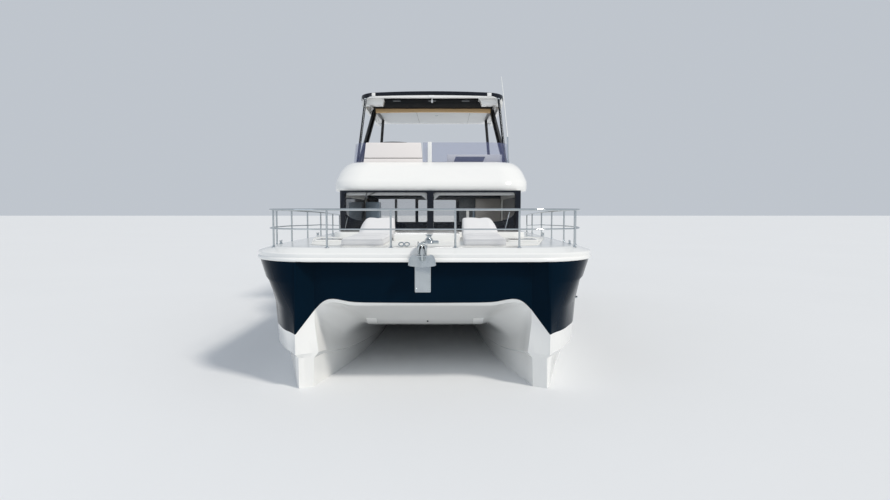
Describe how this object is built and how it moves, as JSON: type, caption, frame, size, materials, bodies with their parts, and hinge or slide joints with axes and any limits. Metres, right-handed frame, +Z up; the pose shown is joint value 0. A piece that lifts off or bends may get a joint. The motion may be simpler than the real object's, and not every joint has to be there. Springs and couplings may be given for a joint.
{
  "type": "twin-hull motor yacht with flybridge and hardtop",
  "caption": "Twin-hull motor yacht afloat, with a flybridge under a hardtop, sliding saloon door, opening hatches, turning propellers and steering rudders.",
  "frame": {"origin": "amidships on the centreline, at the waterline", "axes": "-Y towards the bow, +X to port, +Z up"},
  "size_m": [5.1, 11.19, 6.5716],
  "materials": {
    "white_gelcoat": "polished moulded gelcoat",
    "navy_gelcoat": "polished dark blue gelcoat, white below the chine",
    "glass": "clear toughened glass",
    "tinted_acrylic": "blue-grey tinted acrylic",
    "stainless": "polished stainless steel",
    "black_paint": "black powder coat",
    "white_vinyl": "pale grey marine vinyl",
    "grey_vinyl": "dark grey upholstery",
    "teak": "oiled teak",
    "bronze": "cast bronze",
    "engine_iron": "painted iron",
    "galvanised": "hot-dip galvanised steel"
  },
  "bodies": {
    "yacht": {"bridgedeck": "white_gelcoat", "deck": "white_gelcoat", "cabin_side_port": "white_gelcoat", "cabin_side_starboard": "white_gelcoat", "cabin_aft": "white_gelcoat", "flybridge_deck": "white_gelcoat", "fly_console": "white_gelcoat", "hardtop": "white_gelcoat", "galley": "white_gelcoat", "hull_port": "navy_gelcoat", "hull_starboard": "navy_gelcoat", "windscreen_port": "glass", "windscreen_starboard": "glass", "side_window_port": "glass", "side_window_starboard": "glass", "aft_window": "glass", "fly_screen_port": "tinted_acrylic", "fly_screen_starboard": "tinted_acrylic", "antenna": "stainless", "roof_pillar_port": "stainless", "roof_pillar_starboard": "stainless", "bow_rail_port": "stainless", "bow_rail_starboard": "stainless", "fly_rail": "stainless", "anchor_roller": "stainless", "windlass": "stainless", "shaft_port": "stainless", "shaft_starboard": "stainless", "cabin_front": "black_paint", "hardtop_top": "black_paint", "hardtop_frame_port": "black_paint", "hardtop_frame_starboard": "black_paint", "hardtop_stay_port": "black_paint", "hardtop_stay_starboard": "black_paint", "helm_console": "black_paint", "fly_helm_seat": "white_vinyl", "fly_sofa": "white_vinyl", "sun_lounger_port": "white_vinyl", "sun_lounger_starboard": "white_vinyl", "cockpit_bench": "white_vinyl", "helm_seat": "grey_vinyl", "saloon_sofa": "grey_vinyl", "fly_table": "teak", "fly_stair": "teak", "engine_port": "engine_iron", "engine_starboard": "engine_iron", "anchor": "galvanised"},
    "port_propeller": {"propeller_port": "bronze"},
    "starboard_propeller": {"propeller_starboard": "bronze"},
    "port_rudder": {"rudder_port": "bronze"},
    "starboard_rudder": {"rudder_starboard": "bronze"},
    "flybridge_wheel": {"fly_wheel": "stainless"},
    "saloon_wheel": {"helm_wheel": "stainless"},
    "door": {"saloon_door": "glass"},
    "locker_lid": {"anchor_locker_lid": "white_gelcoat"},
    "port_deck_hatch": {"deck_hatch_port": "glass"},
    "starboard_deck_hatch": {"deck_hatch_starboard": "glass"},
    "port_engine_hatch": {"engine_hatch_port": "white_gelcoat"},
    "starboard_engine_hatch": {"engine_hatch_starboard": "white_gelcoat"},
    "ladder": {"boarding_ladder": "stainless"}
  },
  "joints": [
    {"name": "port_propeller_spin", "type": "hinge", "parent": "yacht", "child": "port_propeller", "pos_m": [1.64, 4.01, -0.6995], "axis": [0, 0.9958, -0.0913], "continuous": true},
    {"name": "starboard_propeller_spin", "type": "hinge", "parent": "yacht", "child": "starboard_propeller", "pos_m": [-1.64, 4.01, -0.6995], "axis": [0, 0.9958, -0.0913], "continuous": true},
    {"name": "starboard_rudder_turn", "type": "hinge", "parent": "yacht", "child": "starboard_rudder", "pos_m": [-1.64, 4.52, -0.385], "axis": [0, 0, 1], "range_deg": [-35, 35]},
    {"name": "port_rudder_turn", "type": "hinge", "parent": "yacht", "child": "port_rudder", "pos_m": [1.64, 4.52, -0.385], "axis": [0, 0, 1], "range_deg": [-35, 35]},
    {"name": "flybridge_wheel_turn", "type": "hinge", "parent": "yacht", "child": "flybridge_wheel", "pos_m": [-0.9, 0.24354, 3.77223], "axis": [0, 0.9792, 0.2028], "range_deg": [-540, 540]},
    {"name": "saloon_wheel_turn", "type": "hinge", "parent": "yacht", "child": "saloon_wheel", "pos_m": [-1.03, -0.40619, 1.80956], "axis": [0, 0.8716, 0.4903], "range_deg": [-540, 540]},
    {"name": "door_slide", "type": "slide", "parent": "yacht", "child": "door", "axis": [-1, 0, 0], "range_m": [0, 1]},
    {"name": "locker_lid_lift", "type": "hinge", "parent": "yacht", "child": "locker_lid", "pos_m": [-0.38, -4.56, 1.95], "axis": [-1, 0, 0], "range_deg": [0, 95]},
    {"name": "port_deck_hatch_lift", "type": "hinge", "parent": "yacht", "child": "port_deck_hatch", "pos_m": [1.58, -3.4, 1.9503], "axis": [-1, 0, 0], "range_deg": [0, 75]},
    {"name": "starboard_deck_hatch_lift", "type": "hinge", "parent": "yacht", "child": "starboard_deck_hatch", "pos_m": [-1.58, -3.4, 1.9503], "axis": [-1, 0, 0], "range_deg": [0, 75]},
    {"name": "port_engine_hatch_lift", "type": "hinge", "parent": "yacht", "child": "port_engine_hatch", "pos_m": [2.024, 3.91, 0.92], "axis": [0, 1, 0], "range_deg": [0, 80]},
    {"name": "starboard_engine_hatch_lift", "type": "hinge", "parent": "yacht", "child": "starboard_engine_hatch", "pos_m": [-2.024, 3.91, 0.92], "axis": [0, -1, 0], "range_deg": [0, 80]},
    {"name": "ladder_fold", "type": "hinge", "parent": "yacht", "child": "ladder", "pos_m": [-1.69, 5.545, 0.4153], "axis": [-1, 0, 0], "range_deg": [0, 270]}
  ],
  "couplings": [
    {"joint": "port_rudder_turn", "follows": "starboard_rudder_turn", "ratio": 1}
  ]
}
